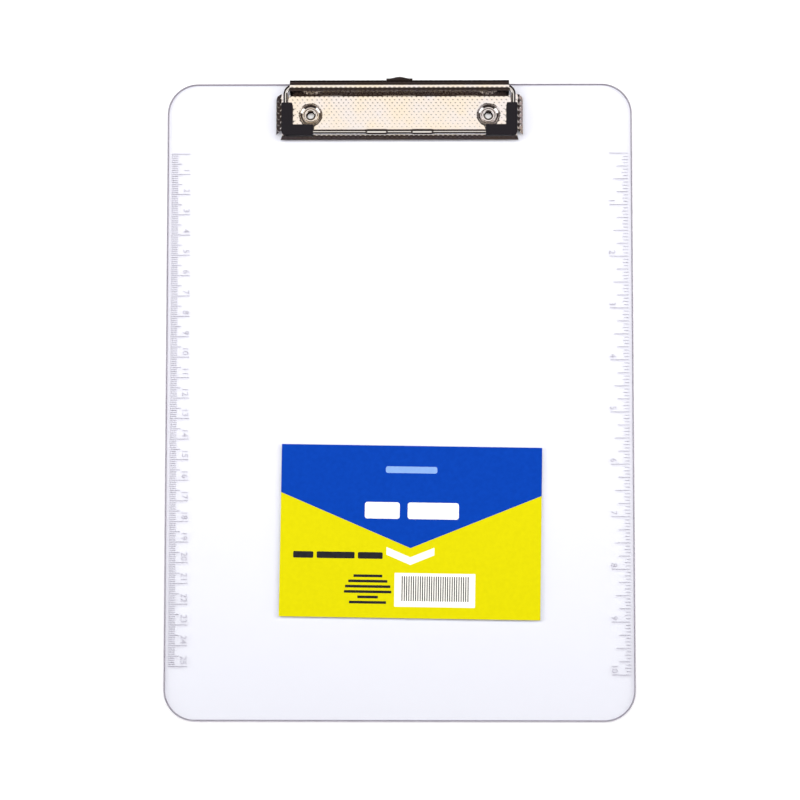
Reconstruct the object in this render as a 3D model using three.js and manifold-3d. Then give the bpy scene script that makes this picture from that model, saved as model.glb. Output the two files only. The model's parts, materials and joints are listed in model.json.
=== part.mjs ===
// A clear clipboard with a low wire clip, in millimetres.
// Origin: the centre of the board's back face. +X is to the right, +Y runs towards the clip and +Z
// stands out of the writing face.
// The wire frame, its rubber corners and the lever turn together about the wire's own crossbar.

import * as THREE from 'three';
import { mergeVertices } from 'three/addons/utils/BufferGeometryUtils.js';
import Module from 'manifold-3d';

// Board: clear plastic with ruler marks along both long edges
const BOARD_WIDTH = 228;
const BOARD_LENGTH = 311;
const BOARD_THICKNESS = 2.5;
const BOARD_CORNER = 15;
const BOARD_EDGE_BEVEL = 0.4;

// Paper label on the writing face
const LABEL_WIDTH = 126.5;
const LABEL_HEIGHT = 83.4;
const LABEL_THICKNESS = 0.1;
const LABEL_CENTRE = new THREE.Vector2(5.5, -64.3);
const LABEL_TURN = THREE.MathUtils.degToRad(-0.87);

// Base plate: one steel sheet. Distances called FROM_TOP are measured from the board's top edge.
const SHEET = 0.6;
const DECK_TOP = BOARD_THICKNESS + 2.2;
const DECK_HALF_WIDTH = 57.9;
const DECK_REAR_FROM_TOP = 6.2;
const DECK_FRONT_FROM_TOP = 25.7;
const FLANGE_FOOT_HALF_WIDTH = 60.5;
const FLANGE_REAR_FROM_TOP = 5.8;
const FLANGE_FRONT_FROM_TOP = 25.5;
const FLANGE_MITRE = 2;
const FLANGE_REAR_ROUND = 2.4;
const LIP_FOOT_FROM_TOP = 28;
const LIP_HALF_WIDTH = 57.4;
const LIP_FOOT_HALF_WIDTH = 58.4;
const FOLD_OVERLAP = 0.9;
const NOTCH_FROM_CENTRE = 54.5;
const NOTCH_WIDTH = 0.9;
const NOTCH_DEPTH = 0.9;

// Rivets: hollow eyelets in conical dimples
const RIVET_FROM_CENTRE = 43.6;
const RIVET_FROM_TOP = 15.8;
const RIVET_HOLE = 2.2;
const DIMPLE_RADIUS = 5.6;
const DIMPLE_SEAT_RADIUS = 3.85;
const EYELET_HEAD_RADIUS = 3.65;
const EYELET_TUBE_RADIUS = 2.05;
const EYELET_BORE_RADIUS = 1.65;
const EYELET_MOUTH_RADIUS = 2.35;
const EYELET_HEAD_HEIGHT = 0.85;
const EYELET_GAP = 0.05;
const COUNTERBORE_RADIUS = 4.1;
const COUNTERBORE_DEPTH = 1.1;

// Wire frame
const WIRE_RADIUS = 1.2;
const PIVOT_FROM_TOP = 2.5;
const PIVOT_HEIGHT = 6.9;
const LEG_FROM_CENTRE = 55.75;
const FRONT_BAR_FROM_TOP = 24.8;
const REAR_BEND = 4;
const FRONT_BEND = 3.5;
const BUTT_GAP = 0.3;

// Hinge knuckles curled from the base plate
const KNUCKLE_INNER = 1.3;
const KNUCKLE_OUTER = KNUCKLE_INNER + SHEET;
const KNUCKLE_FIRST_ANGLE = -90;
const KNUCKLE_LAST_ANGLE = 160;
const KNUCKLES = [[-38, -28], [-8, 8], [28, 38]];

// Lever: a barrel over the crossbar
const LEVER_HALF_LENGTH = 53.5;
const LEVER_OUTER = 3.1;
const LEVER_INNER = LEVER_OUTER - SHEET;
const LEVER_ARC_END = THREE.MathUtils.degToRad(154.6);
const LEVER_FRONT_SKIRT = 3.14;
const LEVER_REAR_SKIRT = 1.2;
const LUG_HALF_WIDTH = 6.4;
const LUG_REACH = 4.6;
const LUG_CROWN = 0.9;
const LUG_DROOP = THREE.MathUtils.degToRad(19.3);
const TONGUES = [[-50, -42], [42, 50]];
const TONGUE_INNER = 1.3;
const TONGUE_OUTER = TONGUE_INNER + SHEET;
const TONGUE_FIRST_ANGLE = -150;
const TONGUE_LAST_ANGLE = 20;

// Rubber corner grips
const GRIP_OUTSIDE = 1.9;
const GRIP_INSIDE = 3.4;
const GRIP_HALF_HEIGHT = 2.1;
const GRIP_BORE = 1.45;
const GRIP_REAR_FROM_TOP = 10.6;
const GRIP_FOOT_FROM_CENTRE = 42.2;
const GRIP_OUTER_CORNER = 2.4;
const GRIP_INNER_CORNER = 0.5;

// Torsion springs round the crossbar
const SPRING_WIRE = 0.35;
const SPRING_RADIUS = 1.8;
const SPRING_PITCH = 0.82;
const SPRING_TURNS = 7.25;
const SPRING_STEPS_PER_TURN = 12;
const SPRING_FROM_CENTRE = 14;
const SPRING_FOOT_DROP = 3.25;
const SPRING_FOOT_BEND = 3.7;
const SPRING_FOOT_REACH = 7.5;
const SPRING_TAIL = 1;

const ROUND_SEGMENTS = 32;
const WIRE_SIDES = 14;
const SPRING_SIDES = 6;

const fromTop = (distance) => BOARD_LENGTH / 2 - distance;
const PIVOT_Y = fromTop(PIVOT_FROM_TOP);

const wasm = await Module();
wasm.setup();

// Joining and cutting

function toSolid(geometry) {
  const bare = geometry.index ? geometry.toNonIndexed() : geometry.clone();
  bare.deleteAttribute('normal');
  bare.deleteAttribute('uv');
  const merged = mergeVertices(bare, 1e-4);
  return new wasm.Manifold(new wasm.Mesh({
    numProp: 3,
    vertProperties: new Float32Array(merged.attributes.position.array),
    triVerts: new Uint32Array(merged.index.array),
  }));
}

function toGeometry(solid) {
  const mesh = solid.getMesh();
  const geometry = new THREE.BufferGeometry();
  geometry.setAttribute('position', new THREE.BufferAttribute(mesh.vertProperties, 3));
  geometry.setIndex(new THREE.BufferAttribute(mesh.triVerts, 1));
  geometry.computeVertexNormals();
  return geometry;
}

const join = (geometries) => geometries.map(toSolid).reduce((all, next) => all.add(next));

const cut = (solid, geometries) => geometries.map(toSolid).reduce((all, next) => all.subtract(next), solid);

// Outlines and extrusions

const outline = (points) => new THREE.Shape(points.map(([x, y]) => new THREE.Vector2(x, y)));

function extrude(shape, length) {
  return new THREE.ExtrudeGeometry(shape, { depth: length, bevelEnabled: false, curveSegments: 16 });
}

// The outline lies in X and Y and rises along Z.
function upward(shape, low, high) {
  return extrude(shape, high - low).translate(0, 0, low);
}

// The outline lies in Y and Z, measured from the pivot, and runs along X.
function across(shape, left, right) {
  const turn = new THREE.Matrix4().makeBasis(
    new THREE.Vector3(0, 1, 0),
    new THREE.Vector3(0, 0, 1),
    new THREE.Vector3(1, 0, 0),
  );
  return extrude(shape, right - left).applyMatrix4(turn).translate(left, PIVOT_Y, PIVOT_HEIGHT);
}

// The outline lies in X and Z and runs along the board, from the rear towards the front.
function lengthwise(shape, rearFromTop, frontFromTop) {
  return extrude(shape, frontFromTop - rearFromTop)
    .rotateX(Math.PI / 2)
    .translate(0, fromTop(rearFromTop), 0);
}

function cylinder(radius, low, high, x, y) {
  return new THREE.CylinderGeometry(radius, radius, high - low, ROUND_SEGMENTS)
    .rotateX(Math.PI / 2)
    .translate(x, y, (low + high) / 2);
}

// A closed profile of radius and height, turned about a vertical line.
function turned(profile, x, y) {
  const points = [...profile, profile[0]].map(([radius, height]) => new THREE.Vector2(radius, height));
  return new THREE.LatheGeometry(points, ROUND_SEGMENTS).rotateX(Math.PI / 2).translate(x, y, 0);
}

function ringSector(inner, outer, firstDegrees, lastDegrees) {
  const first = THREE.MathUtils.degToRad(firstDegrees);
  const last = THREE.MathUtils.degToRad(lastDegrees);
  const shape = new THREE.Shape();
  shape.absarc(0, 0, outer, first, last, false);
  shape.absarc(0, 0, inner, last, first, true);
  return shape;
}

function roundedRectangle(halfWidth, halfHeight, radius) {
  const shape = new THREE.Shape();
  const quarter = Math.PI / 2;
  shape.absarc(halfWidth - radius, halfHeight - radius, radius, 0, quarter, false);
  shape.absarc(radius - halfWidth, halfHeight - radius, radius, quarter, 2 * quarter, false);
  shape.absarc(radius - halfWidth, radius - halfHeight, radius, 2 * quarter, 3 * quarter, false);
  shape.absarc(halfWidth - radius, radius - halfHeight, radius, 3 * quarter, 4 * quarter, false);
  return shape;
}

// A wire's route through chosen stations, so that straight runs take one step and bends take several.
class Route extends THREE.Curve {
  constructor(stations) {
    super();
    this.stations = stations;
  }

  getPoint(t, target = new THREE.Vector3()) {
    const last = this.stations.length - 1;
    const along = Math.min(Math.max(t, 0), 1) * last;
    const before = Math.min(Math.floor(along), last - 1);
    return target.lerpVectors(this.stations[before], this.stations[before + 1], along - before);
  }

  getUtoTmapping(u) {
    return u;
  }
}

function wireAlong(stations, radius, sides) {
  const section = outline(Array.from({ length: sides }, (_, side) => {
    const angle = (2 * Math.PI * (side + 0.5)) / sides;
    return [radius * Math.cos(angle), radius * Math.sin(angle)];
  }));
  return new THREE.ExtrudeGeometry(section, {
    steps: stations.length - 1,
    extrudePath: new Route(stations),
    bevelEnabled: false,
  });
}

// Stations round a quarter bend in the wire's plane, from one heading to the next.
function bend(centreX, centreY, radius, firstDegrees, lastDegrees, steps) {
  return Array.from({ length: steps + 1 }, (_, step) => {
    const angle = THREE.MathUtils.degToRad(firstDegrees + ((lastDegrees - firstDegrees) * step) / steps);
    const x = centreX + radius * Math.cos(angle);
    return new THREE.Vector3(x, centreY + radius * Math.sin(angle), PIVOT_HEIGHT);
  });
}

// Board

function board() {
  const plan = roundedRectangle(BOARD_WIDTH / 2, BOARD_LENGTH / 2, BOARD_CORNER);
  const blank = new THREE.ExtrudeGeometry(plan, {
    depth: BOARD_THICKNESS - 2 * BOARD_EDGE_BEVEL,
    bevelEnabled: true,
    bevelThickness: BOARD_EDGE_BEVEL,
    bevelSize: BOARD_EDGE_BEVEL,
    bevelOffset: -BOARD_EDGE_BEVEL,
    bevelSegments: 1,
    curveSegments: 12,
  }).translate(0, 0, BOARD_EDGE_BEVEL);
  const rivetY = fromTop(RIVET_FROM_TOP);
  const holes = [-1, 1].flatMap((side) => [
    cylinder(RIVET_HOLE, -1, BOARD_THICKNESS + 1, side * RIVET_FROM_CENTRE, rivetY),
    cylinder(COUNTERBORE_RADIUS, -1, COUNTERBORE_DEPTH, side * RIVET_FROM_CENTRE, rivetY),
  ]);
  return toGeometry(cut(toSolid(blank), holes));
}

// Label

function label() {
  const corners = [[-1, -1], [1, -1], [1, 1], [-1, 1]].map(([x, y]) => {
    const corner = new THREE.Vector2((x * LABEL_WIDTH) / 2, (y * LABEL_HEIGHT) / 2);
    corner.rotateAround(new THREE.Vector2(), LABEL_TURN).add(LABEL_CENTRE);
    return [corner.x, corner.y];
  });
  return upward(outline(corners), BOARD_THICKNESS, BOARD_THICKNESS + LABEL_THICKNESS);
}

// Base plate

function deck() {
  const rear = fromTop(DECK_REAR_FROM_TOP);
  const side = NOTCH_FROM_CENTRE + NOTCH_WIDTH / 2;
  const sideRear = fromTop(FLANGE_REAR_FROM_TOP);
  const front = fromTop(DECK_FRONT_FROM_TOP);
  const corner = fromTop(FLANGE_FRONT_FROM_TOP - FLANGE_MITRE);
  return upward(outline([
    [-DECK_HALF_WIDTH, corner],
    [-LIP_HALF_WIDTH, front],
    [LIP_HALF_WIDTH, front],
    [DECK_HALF_WIDTH, corner],
    [DECK_HALF_WIDTH, sideRear],
    [side, sideRear],
    [side, rear],
    [-side, rear],
    [-side, sideRear],
    [-DECK_HALF_WIDTH, sideRear],
  ]), DECK_TOP - SHEET, DECK_TOP);
}

// A fold from the deck's edge down to a foot on the board, drawn from the edge outward.
function foldedEdge(edge, foot) {
  const run = foot - edge;
  const drop = DECK_TOP - BOARD_THICKNESS;
  const thickness = (SHEET * Math.hypot(run, drop)) / drop;
  const innerAtDeck = edge + (run * SHEET) / drop - thickness;
  return [
    [edge - FOLD_OVERLAP, DECK_TOP],
    [edge, DECK_TOP],
    [foot, BOARD_THICKNESS],
    [foot - thickness, BOARD_THICKNESS],
    [innerAtDeck, DECK_TOP - SHEET],
    [edge - FOLD_OVERLAP, DECK_TOP - SHEET],
  ];
}

function sideFlange(side) {
  const section = foldedEdge(DECK_HALF_WIDTH, FLANGE_FOOT_HALF_WIDTH).map(([x, z]) => [side * x, z]);
  const flange = lengthwise(outline(section), FLANGE_REAR_FROM_TOP, FLANGE_FRONT_FROM_TOP);
  const left = Math.min(side * DECK_HALF_WIDTH, side * (FLANGE_FOOT_HALF_WIDTH + 1));
  const right = Math.max(side * DECK_HALF_WIDTH, side * (FLANGE_FOOT_HALF_WIDTH + 1));
  const foot = BOARD_THICKNESS - PIVOT_HEIGHT;
  const top = DECK_TOP - PIVOT_HEIGHT;
  const front = PIVOT_FROM_TOP - FLANGE_FRONT_FROM_TOP;
  const mitre = outline([
    [front, foot - 1],
    [front, foot],
    [front + FLANGE_MITRE, top],
    [front + FLANGE_MITRE, top + 1],
    [front - 1, top + 1],
    [front - 1, foot - 1],
  ]);
  const rear = PIVOT_FROM_TOP - FLANGE_REAR_FROM_TOP;
  const round = FLANGE_REAR_ROUND;
  const rearCorner = new THREE.Shape();
  rearCorner.absarc(rear - round, foot + round, round, -Math.PI / 2, 0, false);
  rearCorner.lineTo(rear + 1, foot + round);
  rearCorner.lineTo(rear + 1, foot - 1);
  rearCorner.lineTo(rear - round, foot - 1);
  return cut(toSolid(flange), [across(mitre, left, right), across(rearCorner, left, right)]);
}

function frontLip() {
  const section = foldedEdge(DECK_FRONT_FROM_TOP, LIP_FOOT_FROM_TOP).map(([distance, z]) => [
    PIVOT_FROM_TOP - distance,
    z - PIVOT_HEIGHT,
  ]);
  const lip = across(outline(section), -LIP_FOOT_HALF_WIDTH, LIP_FOOT_HALF_WIDTH);
  const ends = [-1, 1].map((side) => lengthwise(outline([
    [side * LIP_HALF_WIDTH, DECK_TOP + 1],
    [side * LIP_HALF_WIDTH, DECK_TOP],
    [side * LIP_FOOT_HALF_WIDTH, BOARD_THICKNESS],
    [side * LIP_FOOT_HALF_WIDTH, BOARD_THICKNESS - 1],
    [side * (LIP_FOOT_HALF_WIDTH + 1), BOARD_THICKNESS - 1],
    [side * (LIP_FOOT_HALF_WIDTH + 1), DECK_TOP + 1],
  ]), DECK_FRONT_FROM_TOP - FOLD_OVERLAP - 1, LIP_FOOT_FROM_TOP + 1));
  return cut(toSolid(lip), ends);
}

// A strap from the deck's rear edge, which rises to the curl and rolls round the wire.
function knuckle([left, right]) {
  const deckTop = DECK_TOP - PIVOT_HEIGHT;
  const deckRear = PIVOT_FROM_TOP - DECK_REAR_FROM_TOP;
  const strap = outline([
    [deckRear - 0.5, deckTop - SHEET],
    [deckRear + 0.1, deckTop - SHEET],
    [0.2, -KNUCKLE_OUTER],
    [0.2, -KNUCKLE_INNER - 0.02],
    [deckRear + 0.5, deckTop],
    [deckRear - 0.5, deckTop],
  ]);
  const curl = ringSector(KNUCKLE_INNER, KNUCKLE_OUTER, KNUCKLE_FIRST_ANGLE, KNUCKLE_LAST_ANGLE);
  return join([across(strap, left, right), across(curl, left, right)]);
}

function dimple(x) {
  const seat = BOARD_THICKNESS;
  const slope = (DIMPLE_RADIUS - DIMPLE_SEAT_RADIUS) / (DECK_TOP - SHEET - seat);
  const rim = DIMPLE_RADIUS + 0.15;
  const under = DIMPLE_SEAT_RADIUS + 0.35;
  return turned([
    [RIVET_HOLE, seat],
    [under, seat],
    [rim, seat + (rim - under) / slope],
    [rim, DECK_TOP],
    [DIMPLE_RADIUS, DECK_TOP],
    [DIMPLE_SEAT_RADIUS, seat + SHEET],
    [RIVET_HOLE, seat + SHEET],
  ], x, fromTop(RIVET_FROM_TOP));
}

function basePlate() {
  const rivetY = fromTop(RIVET_FROM_TOP);
  const notchRear = fromTop(DECK_REAR_FROM_TOP) + 1;
  const notchFront = fromTop(DECK_REAR_FROM_TOP + NOTCH_DEPTH);
  const openings = [-1, 1].flatMap((side) => [
    cylinder(DIMPLE_RADIUS, DECK_TOP - 2 * SHEET, DECK_TOP + 1, side * RIVET_FROM_CENTRE, rivetY),
    new THREE.BoxGeometry(NOTCH_WIDTH, notchRear - notchFront, 4 * SHEET)
      .translate(side * NOTCH_FROM_CENTRE, (notchRear + notchFront) / 2, DECK_TOP),
  ]);
  const pieces = [
    sideFlange(-1),
    sideFlange(1),
    frontLip(),
    ...KNUCKLES.map(knuckle),
    ...[-1, 1].map((side) => toSolid(dimple(side * RIVET_FROM_CENTRE))),
  ];
  return toGeometry(pieces.reduce((all, next) => all.add(next), cut(toSolid(deck()), openings)));
}

// Eyelets

function eyelet(side) {
  const headLow = BOARD_THICKNESS + SHEET + EYELET_GAP;
  const headTop = headLow + EYELET_HEAD_HEIGHT;
  const rollTop = COUNTERBORE_DEPTH - 3 * EYELET_GAP;
  return turned([
    [EYELET_BORE_RADIUS, rollTop - 0.2],
    [EYELET_MOUTH_RADIUS, 0.1],
    [EYELET_HEAD_RADIUS - 0.6, 0.1],
    [EYELET_HEAD_RADIUS - 0.2, 0.25],
    [EYELET_HEAD_RADIUS - 0.1, rollTop - 0.3],
    [EYELET_HEAD_RADIUS - 0.5, rollTop],
    [EYELET_TUBE_RADIUS, rollTop],
    [EYELET_TUBE_RADIUS, headLow],
    [EYELET_HEAD_RADIUS - 0.1, headLow],
    [EYELET_HEAD_RADIUS, headLow + 0.2],
    [EYELET_HEAD_RADIUS - 0.2, headTop - 0.25],
    [EYELET_HEAD_RADIUS - 0.7, headTop],
    [EYELET_MOUTH_RADIUS, headTop],
    [EYELET_BORE_RADIUS, headTop - 0.8],
  ], side * RIVET_FROM_CENTRE, fromTop(RIVET_FROM_TOP));
}

// Lever

function leverBarrel() {
  const end = LEVER_ARC_END;
  const downSkirt = ([radius]) => [
    radius * Math.cos(end) - LEVER_FRONT_SKIRT * Math.sin(end),
    radius * Math.sin(end) + LEVER_FRONT_SKIRT * Math.cos(end),
  ];
  const shape = new THREE.Shape();
  shape.moveTo(LEVER_OUTER, -LEVER_REAR_SKIRT);
  shape.absarc(0, 0, LEVER_OUTER, 0, end, false);
  shape.lineTo(...downSkirt([LEVER_OUTER]));
  shape.lineTo(...downSkirt([LEVER_INNER]));
  shape.absarc(0, 0, LEVER_INNER, end, 0, true);
  shape.lineTo(LEVER_INNER, -LEVER_REAR_SKIRT);
  return across(shape, -LEVER_HALF_LENGTH, LEVER_HALF_LENGTH);
}

function thumbLug() {
  const rear = PIVOT_Y + LUG_REACH;
  const shape = new THREE.Shape();
  shape.moveTo(-LUG_HALF_WIDTH, PIVOT_Y + LEVER_INNER);
  shape.lineTo(LUG_HALF_WIDTH, PIVOT_Y + LEVER_INNER);
  shape.lineTo(LUG_HALF_WIDTH, rear);
  shape.quadraticCurveTo(0, rear + 2 * LUG_CROWN, -LUG_HALF_WIDTH, rear);
  const top = PIVOT_HEIGHT - LEVER_REAR_SKIRT + SHEET / 2;
  const bend = PIVOT_Y + LEVER_OUTER;
  return upward(shape, -SHEET, 0)
    .translate(0, -bend, 0)
    .rotateX(-LUG_DROOP)
    .translate(0, bend, top);
}

// A tongue bent in from the rear skirt and crimped round the underside of the wire.
function tongue([left, right]) {
  const hook = ringSector(TONGUE_INNER, TONGUE_OUTER, TONGUE_FIRST_ANGLE, TONGUE_LAST_ANGLE);
  const web = outline([
    [TONGUE_INNER + SHEET / 3, -LEVER_REAR_SKIRT],
    [LEVER_OUTER - SHEET / 2, -LEVER_REAR_SKIRT],
    [LEVER_OUTER - SHEET / 2, SHEET - LEVER_REAR_SKIRT],
    [TONGUE_INNER + SHEET / 3, SHEET - LEVER_REAR_SKIRT],
  ]);
  return join([across(hook, left, right), across(web, left, right)]);
}

function lever() {
  const pieces = [join([leverBarrel(), thumbLug()]), ...TONGUES.map(tongue)];
  return toGeometry(pieces.reduce((all, next) => all.add(next)));
}

// Wire frame: from its butt joint at the middle of the crossbar, round both legs and the front bar

function wireJaw() {
  const frontY = fromTop(FRONT_BAR_FROM_TOP);
  const stations = [
    new THREE.Vector3(BUTT_GAP / 2, PIVOT_Y, PIVOT_HEIGHT),
    ...bend(LEG_FROM_CENTRE - REAR_BEND, PIVOT_Y - REAR_BEND, REAR_BEND, 90, 0, 8),
    ...bend(LEG_FROM_CENTRE - FRONT_BEND, frontY + FRONT_BEND, FRONT_BEND, 0, -90, 8),
    ...bend(FRONT_BEND - LEG_FROM_CENTRE, frontY + FRONT_BEND, FRONT_BEND, -90, -180, 8),
    ...bend(REAR_BEND - LEG_FROM_CENTRE, PIVOT_Y - REAR_BEND, REAR_BEND, 180, 90, 8),
    new THREE.Vector3(-BUTT_GAP / 2, PIVOT_Y, PIVOT_HEIGHT),
  ];
  return wireAlong(stations, WIRE_RADIUS, WIRE_SIDES);
}

// Rubber corner grips

function cornerGrip(side) {
  const frontY = fromTop(FRONT_BAR_FROM_TOP);
  const outer = LEG_FROM_CENTRE + GRIP_OUTSIDE;
  const inner = LEG_FROM_CENTRE - GRIP_INSIDE;
  const front = frontY - GRIP_OUTSIDE;
  const footRear = frontY + GRIP_INSIDE;
  const rear = fromTop(GRIP_REAR_FROM_TOP);
  const round = GRIP_OUTER_CORNER;
  const plan = new THREE.Shape();
  plan.moveTo(inner, rear);
  plan.lineTo(inner, footRear + GRIP_INNER_CORNER);
  plan.lineTo(inner - GRIP_INNER_CORNER, footRear);
  plan.lineTo(GRIP_FOOT_FROM_CENTRE, footRear);
  plan.lineTo(GRIP_FOOT_FROM_CENTRE, front);
  plan.lineTo(outer - round, front);
  plan.absarc(outer - round, front + round, round, -Math.PI / 2, 0, false);
  plan.lineTo(outer, rear);
  const sleeve = upward(plan, PIVOT_HEIGHT - GRIP_HALF_HEIGHT, PIVOT_HEIGHT + GRIP_HALF_HEIGHT);
  const bore = wireAlong([
    new THREE.Vector3(LEG_FROM_CENTRE, rear + 1, PIVOT_HEIGHT),
    ...bend(LEG_FROM_CENTRE - FRONT_BEND, frontY + FRONT_BEND, FRONT_BEND, 0, -90, 8),
    new THREE.Vector3(GRIP_FOOT_FROM_CENTRE - 1, frontY, PIVOT_HEIGHT),
  ], GRIP_BORE, WIRE_SIDES);
  const right = cut(toSolid(sleeve), [bore]);
  return toGeometry(side > 0 ? right : right.mirror([1, 0, 0]));
}

// Torsion springs: a foot under the deck, a coil round the crossbar and a tail inside the lever

function torsionSpring(side) {
  const place = (x, y, z) => new THREE.Vector3(side * x, PIVOT_Y + y, PIVOT_HEIGHT + z);
  const steps = Math.round(SPRING_TURNS * SPRING_STEPS_PER_TURN);
  const coil = Array.from({ length: steps + 1 }, (_, step) => {
    const turns = step / SPRING_STEPS_PER_TURN;
    const angle = 2 * Math.PI * turns - Math.PI / 2;
    return place(
      SPRING_FROM_CENTRE + SPRING_PITCH * turns,
      SPRING_RADIUS * Math.cos(angle),
      SPRING_RADIUS * Math.sin(angle),
    );
  });
  const tailX = SPRING_FROM_CENTRE + SPRING_PITCH * SPRING_TURNS;
  return wireAlong([
    place(SPRING_FROM_CENTRE, -SPRING_FOOT_REACH, -SPRING_FOOT_DROP),
    place(SPRING_FROM_CENTRE, -SPRING_FOOT_BEND, -SPRING_FOOT_DROP),
    ...coil,
    place(tailX, SPRING_RADIUS, SPRING_TAIL),
  ], SPRING_WIRE, SPRING_SIDES);
}

// Materials

const clearPlastic = { color: 0xf4f2f8, roughness: 0.08, metalness: 0 };
const nickelPlate = { color: 0xe4ddd2, roughness: 0.25, metalness: 1 };
const chromeWire = { color: 0xd9d6d3, roughness: 0.1, metalness: 1 };
const blackRubber = { color: 0x232026, roughness: 0.75, metalness: 0 };
const springSteel = { color: 0x9c9690, roughness: 0.3, metalness: 1 };
const printedPaper = { color: 0x2b57b8, roughness: 0.55, metalness: 0 };

const clipboard = new THREE.Group();

function add(name, geometry, finish) {
  const mesh = new THREE.Mesh(geometry, new THREE.MeshStandardMaterial(finish));
  mesh.name = name;
  clipboard.add(mesh);
}

add('board', board(), clearPlastic);
add('label', label(), printedPaper);
add('base_plate', basePlate(), nickelPlate);
add('lever', lever(), nickelPlate);
add('wire_jaw', wireJaw(), chromeWire);
for (const [name, side] of [['left', -1], ['right', 1]]) {
  add(`eyelet_${name}`, toGeometry(toSolid(eyelet(side))), nickelPlate);
  add(`corner_grip_${name}`, cornerGrip(side), blackRubber);
  add(`torsion_spring_${name}`, torsionSpring(side), springSteel);
}

export default clipboard;
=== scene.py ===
# %% [markdown]
# # A clear clipboard with a low wire clip
#
# This lesson dresses a packed mechanical model: a sheet of clear plastic, a stamped and plated clip,
# a sprung wire frame with rubber corners, and a paper label. The frame holds the sizes, the places and
# the hinge. Everything here is drawn in millimetres from the frame's own measures, and turned into
# metres when a mesh is made.

import json
import math

import bpy
import numpy as np
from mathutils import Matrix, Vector
from mathutils.geometry import delaunay_2d_cdt


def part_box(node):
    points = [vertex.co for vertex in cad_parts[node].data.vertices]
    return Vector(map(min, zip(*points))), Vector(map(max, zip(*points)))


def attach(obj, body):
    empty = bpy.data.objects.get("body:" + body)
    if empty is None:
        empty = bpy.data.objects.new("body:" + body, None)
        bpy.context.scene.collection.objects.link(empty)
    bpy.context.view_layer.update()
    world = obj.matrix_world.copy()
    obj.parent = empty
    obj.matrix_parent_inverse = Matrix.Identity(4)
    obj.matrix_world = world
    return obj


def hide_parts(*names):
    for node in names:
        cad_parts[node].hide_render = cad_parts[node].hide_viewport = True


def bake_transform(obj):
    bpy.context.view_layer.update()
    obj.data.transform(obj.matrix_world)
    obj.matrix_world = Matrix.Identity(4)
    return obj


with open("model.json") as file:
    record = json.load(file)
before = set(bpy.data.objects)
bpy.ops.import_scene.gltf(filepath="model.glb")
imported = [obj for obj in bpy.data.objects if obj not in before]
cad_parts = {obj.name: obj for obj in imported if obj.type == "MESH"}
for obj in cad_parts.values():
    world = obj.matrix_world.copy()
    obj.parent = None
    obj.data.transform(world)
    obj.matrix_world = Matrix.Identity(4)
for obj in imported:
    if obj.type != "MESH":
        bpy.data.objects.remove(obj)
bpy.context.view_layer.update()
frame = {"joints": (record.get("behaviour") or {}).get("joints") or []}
MM = 0.001


def box_mm(node):
    low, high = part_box(node)
    return np.array(low) / MM, np.array(high) / MM


board_low, board_high = box_mm("board")
BOARD_TOP = board_high[2]
TOP_EDGE = board_high[1]
PIVOT = np.array(frame["joints"][0]["pos_m"]) / MM
print("board", board_high - board_low, "pivot", PIVOT)

# %% [markdown]
# ## Where the eye is
#
# The clipboard lies on its back and the eye hangs almost straight above it, a little towards the foot
# of the board. That small lean is what shows the front of each fold in the clip.

# %% Camera
EYE = (0.0091, -0.0531, 0.9008)
EYE_TURN = (3.365, 0.561, 0.021)
FILM_WIDTH_MM = 36
LENS_MM = 83.2
camera_data = bpy.data.cameras.new("eye")
camera_data.sensor_width = FILM_WIDTH_MM
camera_data.lens = LENS_MM
camera_data.clip_start = 0.01
camera = bpy.data.objects.new("eye", camera_data)
camera.location = EYE
camera.rotation_euler = [math.radians(angle) for angle in EYE_TURN]
bpy.context.scene.collection.objects.link(camera)
bpy.context.scene.camera = camera
bpy.context.scene.view_settings.view_transform = "Standard"
print("eye is", round(EYE[2], 2), "m above the table")

# %% [markdown]
# ## Small tools for materials
#
# Colours are written as the hex values that a paint chart gives, and one function makes them linear,
# as the renderer needs. One function adds any node with its settings and its links. Most finishes are
# stirred by a noise, whose values nearly all lie between 0.3 and 0.7, so that is the range to spread.

# %% Colour and node helpers
NOISE = "ShaderNodeTexNoise"
SPREAD = "ShaderNodeMapRange"
BLEND = "ShaderNodeMix"
BUMP = "ShaderNodeBump"
FACTOR, FIRST_COLOUR, SECOND_COLOUR, BLENDED = 0, 6, 7, 2
NOISE_RANGE = {"From Min": 0.3, "From Max": 0.7}


def linear(hex_colour):
    channels = [int(hex_colour[i : i + 2], 16) / 255 for i in (1, 3, 5)]
    curve = [c / 12.92 if c <= 0.04045 else ((c + 0.055) / 1.055) ** 2.4 for c in channels]
    return (*curve, 1.0)


def add_node(tree, kind, values=(), sources=(), **settings):
    """values fill sockets, sources are outputs linked to sockets, and settings are the node's own."""
    node = tree.nodes.new(kind)
    for name, value in settings.items():
        setattr(node, name, value)
    for socket, value in dict(values).items():
        node.inputs[socket].default_value = value
    for socket, output in dict(sources).items():
        tree.links.new(output, node.inputs[socket])
    return node


def start_material(name, values):
    """A new material with one shader, and the place on the object for patterns to use."""
    material = bpy.data.materials.new(name)
    material.use_nodes = True
    tree = material.node_tree
    tree.nodes.clear()
    shader = add_node(tree, "ShaderNodeBsdfPrincipled", values)
    out = add_node(tree, "ShaderNodeOutputMaterial", sources={"Surface": shader.outputs[0]})
    place = add_node(tree, "ShaderNodeTexCoord").outputs["Object"]
    return material, tree, shader, place, out


print("white is", linear("#ffffff")[:3])

# %% [markdown]
# ## Clear polystyrene
#
# The board is crystal polystyrene, moulded between polished plates. It bends light more than glass does,
# at an index of 1.59, which gives the bright line inside the edge. The dark outline round the edge is
# painted shade on the edge faces, below. The polish is never perfect, so a slow ripple about 30 mm long
# stirs the reflections. Light from lamps passes straight through, as it does through a thin clear sheet,
# so the table under the board stays bright.
#
# The same plastic has two duller skins. The rounded edges are a little rougher and carry a darker grey
# tint, which is painted shade for the dark outline of the edge. They also let less lamp light through,
# which is a painted shadow line on the table under the edge. The raised scales are frosted so that they
# can be read.

# %% Clear polystyrene
RIPPLE_PER_METRE = 1 / 0.030


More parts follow.
